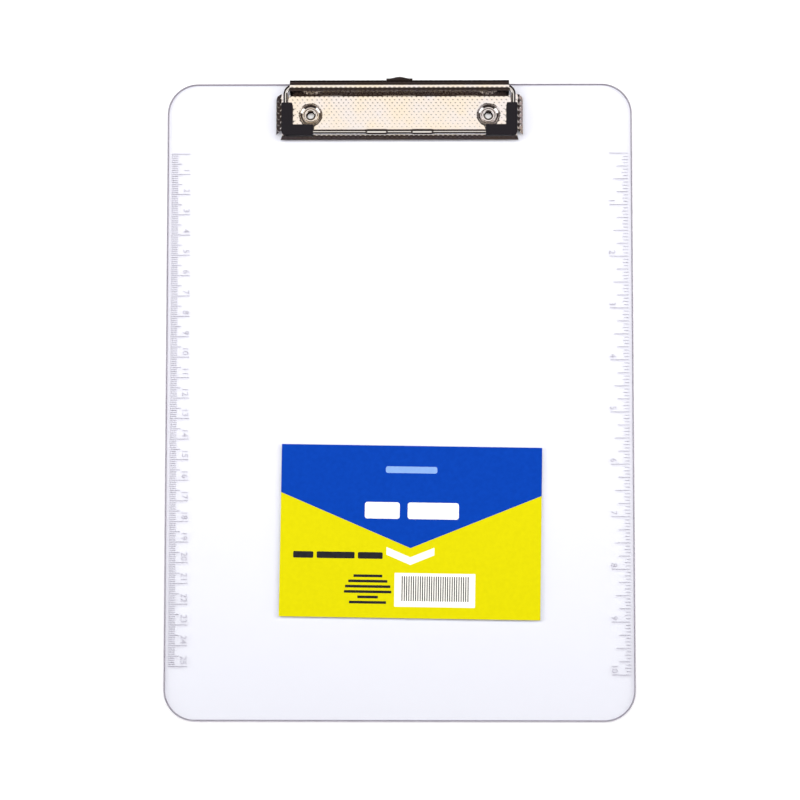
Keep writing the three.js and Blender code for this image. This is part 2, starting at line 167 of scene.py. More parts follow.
def clear_polystyrene(name, seen, passed, roughness, clearness=1.0):
    """seen tints what the eye sees through it, and passed tints the lamp light that goes through."""
    values = {"Base Color": linear(seen), "IOR": 1.59, "Transmission Weight": clearness}
    material, tree, shader, place, out = start_material(name, values)
    ripple = add_node(tree, NOISE, {"Scale": RIPPLE_PER_METRE, "Detail": 2}, {0: place}).outputs[0]
    bump = add_node(tree, BUMP, {"Strength": 0.05, "Distance": 0.0002}, {"Height": ripple})
    tree.links.new(bump.outputs[0], shader.inputs["Normal"])
    dulling = {**NOISE_RANGE, "To Min": roughness, "To Max": roughness + 0.03}
    rough = add_node(tree, SPREAD, dulling, {"Value": ripple})
    tree.links.new(rough.outputs[0], shader.inputs["Roughness"])
    passing = add_node(tree, "ShaderNodeBsdfTransparent", {0: linear(passed)})
    path = add_node(tree, "ShaderNodeLightPath").outputs
    rays = {0: path["Is Shadow Ray"], 1: path["Is Diffuse Ray"]}
    lighting = add_node(tree, "ShaderNodeMath", sources=rays, operation="MAXIMUM").outputs[0]
    parts = {0: lighting, 1: shader.outputs[0], 2: passing.outputs[0]}
    both = add_node(tree, "ShaderNodeMixShader", sources=parts)
    tree.links.new(both.outputs[0], out.inputs["Surface"])
    return material


polystyrene = clear_polystyrene("moulded clear polystyrene", "#fbfbfd", "#f4f5f9", 0.01)
# The edge's darker tint is painted shade for its dark outline, and its dimmer passed light is a painted
# shadow line under the edge.
edge_painted_shade = clear_polystyrene("polystyrene edge with painted shade", "#a09ca6", "#bcb8c2", 0.08, 0.55)
frosted_relief = clear_polystyrene("frosted polystyrene relief", "#cfccd3", "#dedbe1", 0.35)
print(polystyrene.name, edge_painted_shade.name, frosted_relief.name)

# %% [markdown]
# ## Nickel plate
#
# The clip is low-carbon steel strip, pressed and then barrel-plated with bright nickel. Nickel is a
# warm grey metal that reflects about three quarters of the light. Plating in a barrel leaves soft
# warm and cool patches a few millimetres wide, and fine rub marks that widen the reflections.

# %% Nickel plate
WARM_NICKEL = linear("#eadfcf")
COOL_NICKEL = linear("#e4dfe0")
PATCH_PER_METRE = 1 / 0.012
# Real rub marks are about 0.02 mm wide. They are drawn 0.4 mm wide, the finest that shows.
RUB_PER_METRE = 1 / 0.0004


def nickel_plate(name, polish):
    material, tree, shader, place, _ = start_material(name, {"Metallic": 1.0})
    patches = add_node(tree, NOISE, {"Scale": PATCH_PER_METRE, "Detail": 3}, {0: place}).outputs[0]
    firmer = {"From Min": 0.35, "From Max": 0.65}
    warmth = add_node(tree, SPREAD, firmer, {"Value": patches}).outputs[0]
    ends = {FIRST_COLOUR: COOL_NICKEL, SECOND_COLOUR: WARM_NICKEL}
    colour = add_node(tree, BLEND, ends, {FACTOR: warmth}, data_type="RGBA")
    tree.links.new(colour.outputs[BLENDED], shader.inputs["Base Color"])
    rubs = add_node(tree, NOISE, {"Scale": RUB_PER_METRE, "Detail": 2}, {0: place}).outputs[0]
    dulling = {**NOISE_RANGE, "To Min": polish, "To Max": polish + 0.08}
    rough = add_node(tree, SPREAD, dulling, {"Value": rubs})
    tree.links.new(rough.outputs[0], shader.inputs["Roughness"])
    bump = add_node(tree, BUMP, {"Strength": 0.012, "Distance": 0.00005}, {"Height": rubs})
    tree.links.new(bump.outputs[0], shader.inputs["Normal"])
    return material


embossed_nickel = nickel_plate("nickel plated embossed strip", 0.07)
eyelet_nickel = nickel_plate("nickel plated eyelet", 0.06)
print(embossed_nickel.name, eyelet_nickel.name)

# %% [markdown]
# ## Drawn wire
#
# The frame is hard-drawn steel wire with chrome plate. Drawing through a die leaves lines along the
# wire, and the chrome over them is cooler and sharper than nickel. The springs are plain oiled spring
# wire, darker and duller.

# %% Drawn wire
# Die lines are about 0.01 mm apart. They are drawn 0.25 mm apart so that they show.
LINE_PER_METRE = 1 / 0.00025


def drawn_wire(name, light, dark, polish):
    material, tree, shader, place, _ = start_material(name, {"Metallic": 1.0})
    lines = add_node(tree, NOISE, {"Scale": LINE_PER_METRE, "Detail": 1}, {0: place}).outputs[0]
    shade = add_node(tree, SPREAD, NOISE_RANGE, {"Value": lines}).outputs[0]
    ends = {FIRST_COLOUR: linear(dark), SECOND_COLOUR: linear(light)}
    colour = add_node(tree, BLEND, ends, {FACTOR: shade}, data_type="RGBA")
    tree.links.new(colour.outputs[BLENDED], shader.inputs["Base Color"])
    dulling = {**NOISE_RANGE, "To Min": polish, "To Max": polish + 0.06}
    rough = add_node(tree, SPREAD, dulling, {"Value": lines})
    tree.links.new(rough.outputs[0], shader.inputs["Roughness"])
    return material


chrome_wire = drawn_wire("chrome plated drawn wire", "#dedcda", "#cfccca", 0.06)
spring_wire = drawn_wire("oiled spring wire", "#b1aba4", "#8f8981", 0.22)
print(chrome_wire.name, spring_wire.name)

# %% [markdown]
# ## Black rubber
#
# The corner grips are dipped and moulded synthetic rubber. It reflects about 4% of the light, spread
# wide by a skin as fine as sandblasting, so its black turns slightly grey where light grazes it.

# %% Black rubber
# The skin's grain is about 0.05 mm. It is drawn 0.3 mm wide, so that it shows.
GRAIN_PER_METRE = 1 / 0.0003


def moulded_rubber():
    values = {"IOR": 1.5, "Specular IOR Level": 0.3}
    material, tree, shader, place, _ = start_material("moulded black rubber", values)
    grain = add_node(tree, NOISE, {"Scale": GRAIN_PER_METRE, "Detail": 3}, {0: place}).outputs[0]
    dusting = add_node(tree, SPREAD, NOISE_RANGE, {"Value": grain}).outputs[0]
    ends = {FIRST_COLOUR: linear("#141216"), SECOND_COLOUR: linear("#1f1c21")}
    colour = add_node(tree, BLEND, ends, {FACTOR: dusting}, data_type="RGBA")
    tree.links.new(colour.outputs[BLENDED], shader.inputs["Base Color"])
    dulling = {**NOISE_RANGE, "To Min": 0.55, "To Max": 0.75}
    rough = add_node(tree, SPREAD, dulling, {"Value": grain})
    tree.links.new(rough.outputs[0], shader.inputs["Roughness"])
    bump = add_node(tree, BUMP, {"Strength": 0.25, "Distance": 0.00005}, {"Height": grain})
    tree.links.new(bump.outputs[0], shader.inputs["Normal"])
    return material


black_rubber = moulded_rubber()
print(black_rubber.name)

# %% [markdown]
# ## Printed paper
#
# The label is coated paper printed by offset in flat inks. Each ink sinks unevenly into the coating,
# which leaves a mottle about 2 mm wide, barely there. The varnish over it has a soft shine.

# %% Printed paper
MOTTLE_PER_METRE = 1 / 0.002


def printed_paper(name, plain, mottled):
    values = {"IOR": 1.45, "Specular IOR Level": 0.12}
    material, tree, shader, place, _ = start_material(name, values)
    mottle = add_node(tree, NOISE, {"Scale": MOTTLE_PER_METRE, "Detail": 4}, {0: place}).outputs[0]
    amount = add_node(tree, SPREAD, NOISE_RANGE, {"Value": mottle}).outputs[0]
    ends = {FIRST_COLOUR: linear(plain), SECOND_COLOUR: linear(mottled)}
    colour = add_node(tree, BLEND, ends, {FACTOR: amount}, data_type="RGBA")
    tree.links.new(colour.outputs[BLENDED], shader.inputs["Base Color"])
    dulling = {**NOISE_RANGE, "To Min": 0.42, "To Max": 0.5}
    rough = add_node(tree, SPREAD, dulling, {"Value": mottle})
    tree.links.new(rough.outputs[0], shader.inputs["Roughness"])
    return material


INKS = [
    printed_paper("paper white", "#f6f4ee", "#f1efe9"),
    printed_paper("label blue ink", "#003da8", "#0039a0"),
    printed_paper("label yellow ink", "#d4cc00", "#cfc700"),
    printed_paper("label black ink", "#1d1d20", "#26262a"),
    printed_paper("label pale blue ink", "#86a8dc", "#7fa2d8"),
]
WHITE, BLUE, YELLOW, BLACK, PALE_BLUE = range(len(INKS))
print(len(INKS), "inks")

# %% [markdown]
# ## Tools for meshes
#
# A shape is kept as a list of points and a list of faces, in millimetres. Shapes that belong to one
# real piece are gathered in one object. An outline with rounded shoulders is drawn as a stack of
# loops, each pulled in a little from the one below.

# %% Mesh helpers
SMOOTH_BELOW = 35


def make_object(name, shapes, materials, body, stands_for=(), smooth=SMOOTH_BELOW, flats=False):
    """One piece from shapes of (points, faces, material number). body carries it, stands_for lists
    the plain solids it takes the place of, and flats keeps the light even on its flat sides."""
    points, faces, slots = [], [], []
    for shape_points, shape_faces, slot in shapes:
        base = len(points)
        points += [tuple(float(c) * MM for c in p) for p in shape_points]
        faces += [[base + i for i in face] for face in shape_faces]
        slots += [slot] * len(shape_faces)
    mesh = bpy.data.meshes.new(name)
    mesh.from_pydata(points, [], faces)
    for material in materials:
        mesh.materials.append(material)
    mesh.polygons.foreach_set("material_index", slots)
    mesh.update()
    obj = bpy.data.objects.new(name, mesh)
    bpy.context.scene.collection.objects.link(obj)
    mesh.shade_smooth()
    mesh.set_sharp_from_angle(angle=math.radians(smooth))
    if flats:
        obj.modifiers.new("keep flats flat", "WEIGHTED_NORMAL").keep_sharp = True
    if body:
        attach(obj, body)
    if stands_for:
        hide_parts(*stands_for)
    print(f"{name}: {len(points)} points")
    return obj


def arc(centre, radius, first, last, steps):
    turn = np.radians(np.linspace(first, last, steps + 1))
    return [(centre[0] + radius * math.cos(a), centre[1] + radius * math.sin(a)) for a in turn]


def rounded_rectangle(low, high, radius, steps=8):
    (x0, y0), (x1, y1), r = low, high, radius
    return (
        arc((x1 - r, y1 - r), r, 0, 90, steps)
        + arc((x0 + r, y1 - r), r, 90, 180, steps)
        + arc((x0 + r, y0 + r), r, 180, 270, steps)
        + arc((x1 - r, y0 + r), r, 270, 360, steps)
    )


def pulled_in(outline, inset):
    """Moves an anticlockwise outline inwards, along the bisector at each corner."""
    points = np.array(outline, float)
    before, after = np.roll(points, 1, axis=0), np.roll(points, -1, axis=0)
    one, two = points - before, after - points
    one /= np.maximum(np.linalg.norm(one, axis=1, keepdims=True), 1e-9)
    two /= np.maximum(np.linalg.norm(two, axis=1, keepdims=True), 1e-9)
    inward = np.stack([-(one + two)[:, 1], (one + two)[:, 0]], axis=1)
    inward /= np.maximum(np.linalg.norm(inward, axis=1, keepdims=True), 1e-9)
    widen = np.clip((inward[:, 0] * -one[:, 1] + inward[:, 1] * one[:, 0]), 0.5, 1)
    return points + inward * (inset / widen)[:, None]


def stack(outline, levels, slot=0):
    """A closed solid from loops of one outline. levels are (height, inset), from the bottom up."""
    count = len(outline)
    points = []
    for height, inset in levels:
        points += [(x, y, height) for x, y in pulled_in(outline, inset)]
    faces = [list(range(count))[::-1], [len(points) - count + i for i in range(count)]]
    for level in range(len(levels) - 1):
        low, high = level * count, (level + 1) * count
        for i in range(count):
            j = (i + 1) % count
            faces.append([low + i, low + j, high + j, high + i])
    return points, faces, slot


def shoulders(low, high, radius, steps=3):
    """Levels for a solid whose top and bottom edges are rounded."""
    bend = [math.radians(90 * i / steps) for i in range(steps + 1)]
    lower = [(low + radius * (1 - math.sin(a)), radius * (1 - math.cos(a))) for a in bend[::-1]]
    return lower + [(low + high - height, inset) for height, inset in lower[::-1]]


def grid_faces(rows, columns, closed_rows=False, closed_columns=False):
    faces = []
    for r in range(rows if closed_rows else rows - 1):
        for c in range(columns if closed_columns else columns - 1):
            a, b = r * columns + c, r * columns + (c + 1) % columns
            below = (r + 1) % rows * columns
            faces.append([a, b, below + (c + 1) % columns, below + c])
    return faces


def turned(profile, x, y, sides=64):
    """A closed profile of (radius, height), turned about a vertical line."""
    angles = 2 * math.pi * np.arange(sides) / sides
    points = [(x + r * math.cos(a), y + r * math.sin(a), z) for r, z in profile for a in angles]
    return points, grid_faces(len(profile), sides, closed_rows=True, closed_columns=True), 0


print("mesh helpers are ready")

# %% [markdown]
# ## Sheet metal
#
# A stamped sheet has two skins a constant thickness apart and a cut edge between them. The upper skin
# comes as a grid of points and the lower skin is the same grid moved along its normals.
#
# The strip was rolled with small round dots before it was cut. They are real bumps here, not a
# painted pattern, so each one mirrors the lamps in its own way.

# %% Sheet helpers
SHEET = 0.6
DOT_ACROSS = 2.38
DOT_ALONG = 2.96
DOT_RADIUS = 0.75
DOT_RISE = 0.15


def dots(across, along):
    """The embossing rolled into the strip: round dots in staggered rows."""
    away = []
    for shift in (0, 0.5):
        u = (across / DOT_ACROSS + shift + 0.5) % 1 - 0.5
        v = (along / DOT_ALONG + shift + 0.5) % 1 - 0.5
        away.append(np.hypot(u * DOT_ACROSS, v * DOT_ALONG))
    near = np.clip(np.minimum(*away) / DOT_RADIUS, 0, 1)
    return DOT_RISE * (0.5 + 0.5 * np.cos(math.pi * near))


def bent_sheet(path, outward, xs, embossed=0.0):
    """A sheet bent along a path in Y and Z and run along X. outward is the path's normal side, and
    embossed is the share of the dots' full height."""
    path, outward = np.array(path, float), np.array(outward, float)
    run = np.concatenate([[0], np.cumsum(np.linalg.norm(np.diff(path, axis=0), axis=1))])
    rows, columns = len(path), len(xs)
    rise = embossed * dots(np.array(xs)[None, :], run[:, None])
    skins = []
    for depth in (0, SHEET):
        y = path[:, 0, None] + outward[:, 0, None] * (rise - depth)
        z = path[:, 1, None] + outward[:, 1, None] * (rise - depth)
        x = np.broadcast_to(np.array(xs)[None, :], y.shape)
        skins.append(np.stack([x, y, z], axis=-1).reshape(-1, 3))
    upper = grid_faces(rows, columns)
    lower = [[i + rows * columns for i in face[::-1]] for face in upper]
    rim = list(range(columns))
    rim += [r * columns + columns - 1 for r in range(1, rows)]
    rim += [(rows - 1) * columns + c for c in range(columns - 2, -1, -1)]
    rim += [r * columns for r in range(rows - 2, 0, -1)]
    wall = [[a, a + rows * columns, b + rows * columns, b] for a, b in zip(rim, rim[1:] + rim[:1])]
    return np.concatenate(skins), upper + lower + wall, 0


print("dots are", DOT_ACROSS, "by", DOT_ALONG, "mm apart")

# %% [markdown]
# ## The board
#
# One slab with corners of 15 mm radius and edges eased by the mould. The rivets pass through two stepped
# holes. The slab is a stack of loops, and the holes are cut with a boolean, because a round hole through
# a flat face is exactly what a boolean does well. Every face that is not flat on the top or the bottom
# then gets the edge skin. Its darker tint is painted shade for the dark outline and a painted shadow
# under the edge.

# %% Board slab
BOARD_CORNER = 15
EDGE_EASE = 0.6
RIVET_HOLE = 2.2
COUNTERBORE = 4.1
COUNTERBORE_DEPTH = 1.1
FLAT_FACE = 0.99
RIVETS = [(sum(box_mm(name)) / 2)[:2] for name in ("eyelet_left", "eyelet_right")]

outline = rounded_rectangle(board_low[:2], board_high[:2], BOARD_CORNER, 24)
slab = stack(outline, shoulders(0, BOARD_TOP, EDGE_EASE, 4))
board = make_object("clear_board", [slab], [polystyrene], "board_body", ["board"])


def circle(centre, radius, sides=48):
    return arc(centre, radius, 0, 360, sides)[:-1]


cutters = []
for centre in RIVETS:
    through = stack(circle(centre, RIVET_HOLE), [(-1, 0), (BOARD_TOP + 1, 0)])
    recess = stack(circle(centre, COUNTERBORE), [(-1, 0), (COUNTERBORE_DEPTH, 0)])
    for shape in (through, recess):
        cutters.append(make_object("cutter", [shape], [], None))
for cutter in cutters:
    hole = board.modifiers.new("hole", "BOOLEAN")
    hole.object = cutter
    hole.solver = "EXACT"
cut_mesh = bpy.data.meshes.new_from_object(board.evaluated_get(bpy.context.evaluated_depsgraph_get()))
board.modifiers.clear()
board.data = cut_mesh
board.data.name = "clear_board"
board.data.shade_smooth()
board.data.set_sharp_from_angle(angle=math.radians(SMOOTH_BELOW))
# Edge faces take the material with painted shade: a dark outline, and a painted shadow line under the
# edge.
board.data.materials.append(edge_painted_shade)
for face in board.data.polygons:
    face.material_index = 1 if abs(face.normal.z) < FLAT_FACE else 0
board.modifiers.new("keep flats flat", "WEIGHTED_NORMAL").keep_sharp = True
for cutter in cutters:
    bpy.data.objects.remove(cutter)
print("board with holes:", len(board.data.polygons), "faces")

# %% [markdown]
# ## The ruler edges
#
# The mould has fine lines cut in it, so the scales stand up from the face as clear relief: no ink at
# all. Each mark is a low bar with sloping sides, which bends light just enough to read as pale grey.
# Inches run down the right edge in sixteenths, and centimetres down the left edge in millimetres.

# %% Ruler marks
MARK_RISE = 0.14
MARK_HALF_WIDTH = 0.19
MARK_SLOPE = 0.09
HAIR_GAP = 0.004
MARK_SEAT = BOARD_TOP + HAIR_GAP
INCH = 25.4
EDGE_CLEAR = 2.2
INCH_ZERO = TOP_EDGE - 34.6
CENTIMETRE_ZERO = TOP_EDGE - 34.8
# Each scale lists how long a mark is when its count divides by the first number.
INCH_LENGTHS = ((16, 9.1), (8, 7.2), (4, 5.6), (2, 2.8), (1, 2.3))
CENTIMETRE_LENGTHS = ((10, 9.2), (5, 5.2), (1, 3.2))


def mark_bar(x0, x1, y):
    low, high = (min(x0, x1), y - MARK_HALF_WIDTH), (max(x0, x1), y + MARK_HALF_WIDTH)
    loop = [low, (high[0], low[1]), high, (low[0], high[1])]
    return stack(loop, [(MARK_SEAT, 0), (MARK_SEAT + MARK_RISE, MARK_SLOPE)])


def ruler_bars(edge, inward, zero, spacing, count, lengths):
    bars = []
    for i in range(count + 1):
        length = next(length for every, length in lengths if i % every == 0)
        bars.append(mark_bar(edge, edge + inward * length, zero - i * spacing))
    return bars


right_edge, left_edge = board_high[0] - EDGE_CLEAR, board_low[0] + EDGE_CLEAR
inch_bars = ruler_bars(right_edge, -1, INCH_ZERO, INCH / 16, 160, INCH_LENGTHS)
centimetre_bars = ruler_bars(left_edge, 1, CENTIMETRE_ZERO, 1, 250, CENTIMETRE_LENGTHS)
for name, bars in (("inch_marks", inch_bars), ("centimetre_marks", centimetre_bars)):
    make_object(name, bars, [frosted_relief], "board_body")

# %% [markdown]
# ## The numerals
#
# Numbers read from the top of the board down, each just before its own mark. Blender's built-in
# figures are turned to meshes and gathered into one piece for each scale.

# %% Ruler numerals
NUMERAL_SIZE = 4.2
NUMERAL_GAP = 0.9
INCH_FOOT = board_high[0] - 11.5
CENTIMETRE_FOOT = board_low[0] + 8.2


def relief_numbers(numbers):
    """Shapes for (text, x, y): x is the foot of the figures and y the place where the number ends."""
    shapes = []
    for text, x, y in numbers:
        curve = bpy.data.curves.new("numerals", "FONT")
        curve.body = text
        curve.size = NUMERAL_SIZE
        curve.align_x = "RIGHT"
        curve.extrude = MARK_RISE / 2
        curve.resolution_u = 3
        holder = bpy.data.objects.new("numerals", curve)
        mesh = bpy.data.meshes.new_from_object(holder)
        lift = MARK_SEAT + MARK_RISE / 2
        points = [(x + v.co.y, y - v.co.x, lift + v.co.z) for v in mesh.vertices]
        shapes.append((points, [list(f.vertices) for f in mesh.polygons], 0))
        bpy.data.objects.remove(holder)
        bpy.data.meshes.remove(mesh)
        bpy.data.curves.remove(curve)
    return shapes


inch_numbers = [(str(i), INCH_FOOT, INCH_ZERO - i * INCH + NUMERAL_GAP) for i in range(1, 11)]
cm_numbers = [(str(i), CENTIMETRE_FOOT, CENTIMETRE_ZERO - i * 10 + NUMERAL_GAP) for i in range(1, 26)]
for name, numbers in (("inch_numerals", inch_numbers), ("centimetre_numerals", cm_numbers)):
    make_object(name, relief_numbers(numbers), [frosted_relief], "board_body")

# %% [markdown]
# ## The label
#
# A paper sticker, put on by hand and so a touch crooked. A blue field ends in a wide point over a
# yellow field. What a shop prints there is not part of the object, so plain bars hold its places:
# each is a thin layer of ink on the paper.

# %% Label
LABEL_WIDTH = 126.5
LABEL_HEIGHT = 83.4
LABEL_TURN = math.radians(-0.87)
INK = 0.006
SHOULDER_DOWN = 23.4
POINT_DOWN = 49.6
CHEVRON_HALF = 11.6
CHEVRON_TOP = -12.3
CHEVRON_DEEP = 3.7
label_low, label_high = box_mm("label")
label_centre = ((label_low + label_high) / 2)[:2]


def on_label(points):
    c, s = math.cos(LABEL_TURN), math.sin(LABEL_TURN)
    return [(label_centre[0] + c * u - s * v, label_centre[1] + s * u + c * v) for u, v in points]


def inked(points, layer, ink):
    """A flat film of ink. Layer 1 lies on the paper, and each further layer on the one below."""
    low = label_high[2] + (layer - 1) * INK
    return stack(on_label(points), [(low, 0), (low + INK, 0)], ink)


def bar(u0, u1, v0, v1, layer, ink, radius=0.5):
    return inked(rounded_rectangle((u0, v0), (u1, v1), radius, 4), layer, ink)


half_width, half_height = LABEL_WIDTH / 2, LABEL_HEIGHT / 2
shoulder, point = half_height - SHOULDER_DOWN, half_height - POINT_DOWN
head = [(half_width, half_height), (-half_width, half_height)]
foot = [(-half_width, -half_height), (half_width, -half_height)]
blue_field = [(-half_width, shoulder), (0, point), (half_width, shoulder), *head]
yellow_field = [(-half_width, shoulder), *foot, (half_width, shoulder), (0, point)]
paper = stack(on_label(foot + head), [(label_low[2] + HAIR_GAP, 0), (label_high[2], 0)], WHITE)
chevron_slope = (shoulder - point) / half_width
chevron_ends = CHEVRON_TOP + chevron_slope * CHEVRON_HALF
chevron = [
    (-CHEVRON_HALF, chevron_ends),
    (-CHEVRON_HALF, chevron_ends - CHEVRON_DEEP),
    (0, CHEVRON_TOP - CHEVRON_DEEP),
    (CHEVRON_HALF, chevron_ends - CHEVRON_DEEP),
    (CHEVRON_HALF, chevron_ends),
    (0, CHEVRON_TOP),
]
print("label", LABEL_WIDTH, "by", LABEL_HEIGHT, "mm")

# %% [markdown]
# Plain bars keep the balance of the printed face: two white ones on the blue, three black ones and a
# block of short lines on the yellow, and a white panel with even stripes that carry no code. Each bar
# is given by its left, right, lower and upper sides, measured from the middle of the label.

# %% Label bars
title_bars = [bar(-22.4, -5.5, 6.2, 14.2, 2, WHITE, 1.2), bar(-1.6, 23.2, 6.2, 14.2, 2, WHITE, 1.2)]
heading_bars = [bar(-12.5, 12.5, 28.4, 31.6, 2, PALE_BLUE, 1.0)]
SIDE_SPANS = ((-56.8, -47), (-45.4, -27), (-25.4, -13.4))
side_bars = [bar(left, right, -13.3, -10.1, 2, BLACK, 0.6) for left, right in SIDE_SPANS]
LINE_WIDTHS, LINE_MIDDLE, LINE_STEP = (14, 19, 22, 23, 10, 18), -20.4, 2.55
small_bars = []
for i, width in enumerate(LINE_WIDTHS):
    left, right = LINE_MIDDLE - width / 2, LINE_MIDDLE + width / 2
    small_bars.append(bar(left, right, -22.2 - i * LINE_STEP, -20.9 - i * LINE_STEP, 2, BLACK, 0.3))
panel = bar(-7.5, 31.6, -36.2, -19.9, 2, WHITE, 0.3)
STRIPES, STRIPE_STEP = 30, 1.1
stripes = []
for i in range(STRIPES):
    stripes.append(bar(-4 + i * STRIPE_STEP, -3.5 + i * STRIPE_STEP, -33.4, -21.4, 3, BLACK, 0.05))
fields = [inked(blue_field, 1, BLUE), inked(yellow_field, 1, YELLOW), inked(chevron, 2, WHITE)]
label_shapes = [paper, *fields, *title_bars, *heading_bars, *side_bars, *small_bars, panel, *stripes]
make_object("paper_label", label_shapes, INKS, "board_body", ["label"])

# %% [markdown]
# ## The base plate
#
# One pressed sheet: a flat deck, sides and front folded down to the board, and two conical dimples for
# the rivets. Seen from above no part of it hides another, so it can be a height over the plan: cut
# the outline, fill it with points in step with the dots, join them up, and lift each to its height.
#
# The deck is pressed flat between the dies, so its dots are lower than those on the folded sides.

# %% Base plate sizes
plate_low, plate_high = box_mm("base_plate")
PLATE_HALF = plate_high[0]
DECK_TOP = BOARD_TOP + 2.2
FOOT_EDGE = 0.4
FLANGE_RUN = 2.15
LIP_RUN = 1.9
FOLD = 0.5
DECK_REAR = TOP_EDGE - 6.2
FLANGE_REAR = TOP_EDGE - 5.8
FLANGE_FRONT = TOP_EDGE - 25.5
LIP_FOOT = plate_low[1]
DIMPLE = 5.6
DIMPLE_SEAT = 3.85
DIMPLE_WALL = 1.6
DIMPLE_BOWL = 0.55
NOTCH = 54.5
DECK_DOTS = 0.46
FOLDED_DOTS = 1.3


def smooth_min(a, b, width):
    """The lower of two heights, with the corner between them rounded over a width."""
    mix = np.clip(0.5 + 0.5 * (b - a) / width, 0, 1)
    return b + (a - b) * mix - width * mix * (1 - mix)


def deck_height(x, y):
    """The plain height of the plate's upper skin."""
    foot = BOARD_TOP + FOOT_EDGE
    drop = DECK_TOP - foot
    side = foot + (PLATE_HALF - np.abs(x)) * drop / FLANGE_RUN
    front = foot + (y - LIP_FOOT) * drop / LIP_RUN
    height = smooth_min(smooth_min(side, front, FOLD), DECK_TOP, FOLD)
    seat = BOARD_TOP + SHEET
    for centre in RIVETS:
        away = np.hypot(x - centre[0], y - centre[1])
        wall = DECK_TOP - DIMPLE_WALL * (DIMPLE - away)
        bowl = seat + DIMPLE_BOWL * np.maximum(away - DIMPLE_SEAT, 0)
        bowl = -smooth_min(-wall, -bowl, 0.2)
        height = np.where(away < DIMPLE + 1, smooth_min(height, bowl, 0.25), height)
    return height


print("deck stands", DECK_TOP - BOARD_TOP, "mm above the board")

# %% [markdown]
# The outline is drawn for the right half, from the rear notch round the side flange to the front lip,
# and mirrored. The notches let the flanges fold without tearing the deck.

# %% Base plate outline
NOTCH_HALF, NOTCH_DEEP = 0.45, 0.7
SIDE_ROUND = 2.6
side_rear = (DECK_TOP - BOARD_TOP) + 0.2
notch_floor = DECK_REAR - NOTCH_DEEP
half_outline = [
    (NOTCH - NOTCH_HALF, DECK_REAR),
    (NOTCH - NOTCH_HALF, notch_floor),
    *arc((NOTCH, notch_floor), NOTCH_HALF, 180, 360, 6)[1:-1],
    (NOTCH + NOTCH_HALF, notch_floor),
    (NOTCH + NOTCH_HALF, FLANGE_REAR),
]
for a in np.radians(np.linspace(0, 90, 9)):
    across = PLATE_HALF - SIDE_ROUND + SIDE_ROUND * math.sin(a)
    half_outline.append((across, FLANGE_REAR - side_rear + side_rear * math.cos(a)))
half_outline += [
    (PLATE_HALF, FLANGE_FRONT),
    (57.9, FLANGE_FRONT + 2),
    (57.4, TOP_EDGE - 25.7),
    (58.4, LIP_FOOT),
]
plate_outline = half_outline + [(-x, y) for x, y in half_outline[::-1]]


def subdivided(loop, step):
    points = []
    for (x0, y0), (x1, y1) in zip(loop, loop[1:] + loop[:1]):
        pieces = max(1, math.ceil(math.hypot(x1 - x0, y1 - y0) / step))
        points += [(x0 + (x1 - x0) * i / pieces, y0 + (y1 - y0) * i / pieces) for i in range(pieces)]
    return points


def inside(loop, x, y):
    """True where a point is inside the loop, by counting crossings."""
    found = np.zeros(x.shape, bool)
    for (x0, y0), (x1, y1) in zip(loop, loop[1:] + loop[:1]):
        if y0 != y1:
            crosses = (y0 > y) != (y1 > y)
            found ^= crosses & (x < (x1 - x0) * (y - y0) / (y1 - y0) + x0)
    return found


STEP = 0.33
plate_rim = subdivided(plate_outline, STEP)
hole_rims = [circle(centre, RIVET_HOLE) for centre in RIVETS]
print("plate outline has", len(plate_rim), "points")

# %% [markdown]
# The filling is a grid whose steps divide the dots' spacing evenly, so that every dot has the same
# shape. Points too near the rim are left out. Each dimple is filled with rings instead.

# %% Base plate points
RINGS, RING_SIDES = 19, 72
across_step = DOT_ACROSS / round(DOT_ACROSS / STEP)
along_step = DOT_ALONG / round(DOT_ALONG / STEP)
reach = math.ceil(PLATE_HALF / across_step)
columns = np.arange(-reach, reach + 1)
rows = np.arange(math.floor((LIP_FOOT - TOP_EDGE) / along_step), 0)
grid_x, grid_y = np.meshgrid(columns * across_step, TOP_EDGE + rows * along_step)
grid_x, grid_y = grid_x.ravel(), grid_y.ravel()
keep = inside(plate_outline, grid_x, grid_y)
rim_array = np.array(plate_rim)
for start in range(0, len(rim_array), 64):
    block = rim_array[start : start + 64]
    away = np.hypot(grid_x[:, None] - block[None, :, 0], grid_y[:, None] - block[None, :, 1])
    keep &= away.min(axis=1) > 0.45 * STEP
for centre in RIVETS:
    keep &= np.hypot(grid_x - centre[0], grid_y - centre[1]) > DIMPLE + 0.5 * STEP
lattice = list(zip(grid_x[keep], grid_y[keep]))
for centre in RIVETS:
    for radius in np.linspace(RIVET_HOLE + 0.25, DIMPLE, RINGS):
        lattice += circle(centre, radius, RING_SIDES)
print(len(lattice), "points inside the outline")

# %% [markdown]
# A Delaunay net joins the points into even triangles and keeps the rim and the holes as they were
# drawn. Triangles outside the outline or over a hole are dropped, and all are turned face up.

# %% Base plate mesh
loops = [plate_rim, *hole_rims]
flat_points = [Vector(p) for loop in loops for p in loop] + [Vector(p) for p in lattice]
edges, base = [], 0
for loop in loops:
    edges += [(base + i, base + (i + 1) % len(loop)) for i in range(len(loop))]
    base += len(loop)
net = delaunay_2d_cdt(flat_points, edges, [], 0, 1e-5)
net_points = np.array([tuple(p) for p in net[0]])
triangles = np.array([list(t) for t in net[2]])
middle = net_points[triangles].mean(axis=1)
kept = inside(plate_outline, middle[:, 0], middle[:, 1])
for centre in RIVETS:
    kept &= np.hypot(middle[:, 0] - centre[0], middle[:, 1] - centre[1]) > RIVET_HOLE
triangles = triangles[kept]
corner = net_points[triangles[:, 0]]
one, two = net_points[triangles[:, 1]] - corner, net_points[triangles[:, 2]] - corner
turned_over = one[:, 0] * two[:, 1] - one[:, 1] * two[:, 0] < 0
triangles[turned_over] = triangles[turned_over][:, ::-1]
